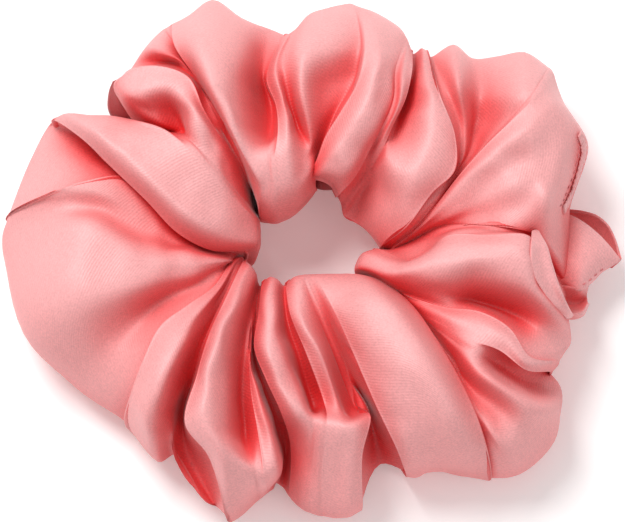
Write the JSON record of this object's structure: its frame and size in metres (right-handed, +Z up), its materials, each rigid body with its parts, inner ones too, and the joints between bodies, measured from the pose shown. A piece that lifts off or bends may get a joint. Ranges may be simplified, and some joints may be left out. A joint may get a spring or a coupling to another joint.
{
  "type": "scrunchie",
  "caption": "Satin scrunchie: a gathered fabric tube over a hidden loop of flat elastic, closed with a topstitched hem. It stretches open to hold hair.",
  "frame": {"origin": "middle of the object's box, on the surface that it rests on", "axes": "+Z up, +X towards the side with the closing hem and its flap, +Y towards the back, where the opening sits nearer the edge"},
  "size_m": [0.13, 0.113, 0.035],
  "materials": {
    "satin": "soft satin sheen, fine diagonal weave",
    "elastic": "matte ribbed elastic",
    "thread": "fine polyester sewing thread"
  },
  "bodies": {
    "left_side": {"casing_left": "satin", "long_seam_thread_left": "thread", "elastic_left": "elastic"},
    "right_side": {"casing_right": "satin", "closing_hem": "satin", "closing_seam_thread": "thread", "long_seam_thread_right": "thread", "elastic_right": "elastic", "elastic_join_thread": "thread"}
  },
  "joints": [
    {"name": "stretch", "type": "slide", "parent": "left_side", "child": "right_side", "axis": [1, 0, 0], "range_m": [0, 0.06], "stiffness_N_per_m": 100}
  ]
}
